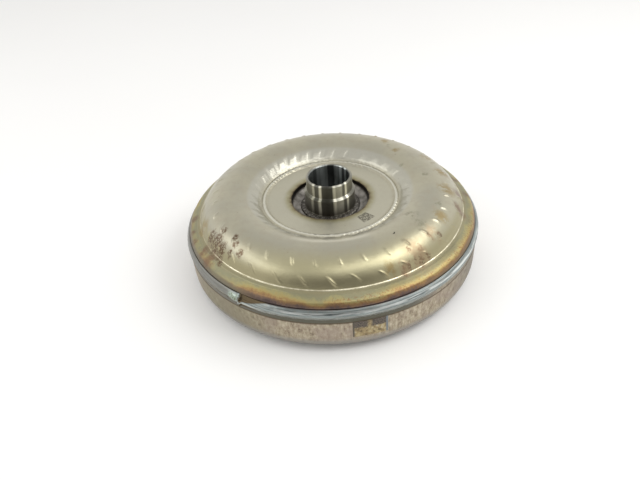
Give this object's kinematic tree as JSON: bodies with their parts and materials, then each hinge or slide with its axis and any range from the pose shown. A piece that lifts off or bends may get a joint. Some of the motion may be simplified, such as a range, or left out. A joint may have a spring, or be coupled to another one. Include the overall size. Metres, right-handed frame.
{
  "type": "torque converter",
  "caption": "Lock-up torque converter: welded steel housing with a splined turbine, sprung damper, clutch piston and one-way stator running inside it.",
  "frame": {"origin": "on the spin axis, in the plane of the drive-lug faces that the converter stands on", "axes": "+Z along the spin axis towards the gearbox hub; +X to the right and -Y towards the viewer of the label side"},
  "size_m": [0.284, 0.284, 0.0917],
  "materials": {
    "front_cover": "bare stamped steel, tan oxide skin, matt, stained",
    "pilot_boss": "turned steel",
    "drive_lugs": "machined steel faces",
    "lug_welds": "burnt weld",
    "impeller_shell": "stamped steel, satin, golden tint and heat colours near the welds",
    "girth_weld": "rippled blue-silver weld bead",
    "impeller_hub": "fine turned and polished steel",
    "hub_weld": "burnt weld",
    "impeller_blades": "pressed sheet steel",
    "impeller_core_ring": "pressed sheet steel",
    "id_label": "printed film, dark and gold",
    "bearing_races": "ground hardened steel",
    "bearing_cages": "pressed brass-coloured cage",
    "needles": "ground rollers",
    "turbine_hub": "turned forging",
    "turbine_shell": "stamped steel",
    "turbine_blades": "pressed sheet steel",
    "turbine_core_ring": "pressed sheet steel",
    "rivets": "cold-headed steel",
    "piston_seal_ring": "moulded seal",
    "damper_driven_plate": "hardened plate",
    "damper_retainers": "hardened plate",
    "damper_springs": "oil-tempered wire",
    "lockup_piston": "stamped steel",
    "friction_lining": "paper friction lining",
    "stator_wheel": "die-cast",
    "stator_washers": "pressed bronze washers",
    "clutch_races": "ground hardened steel",
    "clutch_roller_springs": "spring strip"
  },
  "bodies": {
    "housing": {"front_cover": "front_cover", "pilot_boss": "pilot_boss", "drive_lugs": "drive_lugs", "lug_welds": "lug_welds", "impeller_shell": "impeller_shell", "girth_weld": "girth_weld", "impeller_hub": "impeller_hub", "hub_weld": "hub_weld", "impeller_blades": "impeller_blades", "impeller_core_ring": "impeller_core_ring", "id_label": "id_label", "front_bearing_cover_race": "bearing_races", "rear_bearing_hub_race": "bearing_races"},
    "turbine": {"turbine_hub": "turbine_hub", "turbine_shell": "turbine_shell", "turbine_blades": "turbine_blades", "turbine_core_ring": "turbine_core_ring", "turbine_rivets": "rivets", "piston_seal_ring": "piston_seal_ring", "damper_driven_plate": "damper_driven_plate", "front_bearing_turbine_race": "bearing_races", "middle_bearing_turbine_race": "bearing_races"},
    "damper": {"damper_front_retainer": "damper_retainers", "damper_rear_retainer": "damper_retainers", "damper_stop_rivets": "rivets", "damper_springs": "damper_springs"},
    "piston": {"lockup_piston": "lockup_piston", "friction_lining": "friction_lining"},
    "stator": {"stator_wheel": "stator_wheel", "stator_front_washer": "stator_washers", "stator_rear_washer": "stator_washers", "clutch_outer_race": "clutch_races", "clutch_rollers": "needles", "clutch_roller_springs": "clutch_roller_springs", "middle_bearing_stator_race": "bearing_races", "rear_bearing_stator_race": "bearing_races"},
    "inner_race": {"clutch_inner_race": "clutch_races"},
    "front_cage": {"front_bearing_cage": "bearing_cages", "front_bearing_needles": "needles"},
    "middle_cage": {"middle_bearing_cage": "bearing_cages", "middle_bearing_needles": "needles"},
    "rear_cage": {"rear_bearing_cage": "bearing_cages", "rear_bearing_needles": "needles"}
  },
  "joints": [
    {"name": "turbine_spin", "type": "hinge", "parent": "housing", "child": "turbine", "pos_m": [0, 0, 0.03], "axis": [0, 0, 1], "continuous": true},
    {"name": "damper_twist", "type": "hinge", "parent": "turbine", "child": "damper", "pos_m": [0, 0, 0.0226], "axis": [0, 0, 1], "range_deg": [-7, 7], "stiffness_Nm_per_rad": 600, "deforming": ["damper_springs"]},
    {"name": "lockup_slide", "type": "slide", "parent": "damper", "child": "piston", "axis": [0, 0, -1], "range_m": [0, 0.0012]},
    {"name": "stator_spin", "type": "hinge", "parent": "housing", "child": "stator", "pos_m": [0, 0, 0.052], "axis": [0, 0, 1], "continuous": true},
    {"name": "inner_race_spin", "type": "hinge", "parent": "stator", "child": "inner_race", "pos_m": [0, 0, 0.043], "axis": [0, 0, 1], "continuous": true},
    {"name": "front_cage_spin", "type": "hinge", "parent": "housing", "child": "front_cage", "pos_m": [0, 0, 0.014], "axis": [0, 0, 1], "continuous": true},
    {"name": "rear_cage_spin", "type": "hinge", "parent": "housing", "child": "rear_cage", "pos_m": [0, 0, 0.0508], "axis": [0, 0, 1], "continuous": true},
    {"name": "middle_cage_spin", "type": "hinge", "parent": "turbine", "child": "middle_cage", "pos_m": [0, 0, 0.034], "axis": [0, 0, 1], "continuous": true}
  ],
  "couplings": [
    {"joint": "front_cage_spin", "follows": "turbine_spin", "ratio": 0.5},
    {"joint": "rear_cage_spin", "follows": "stator_spin", "ratio": 0.5}
  ]
}
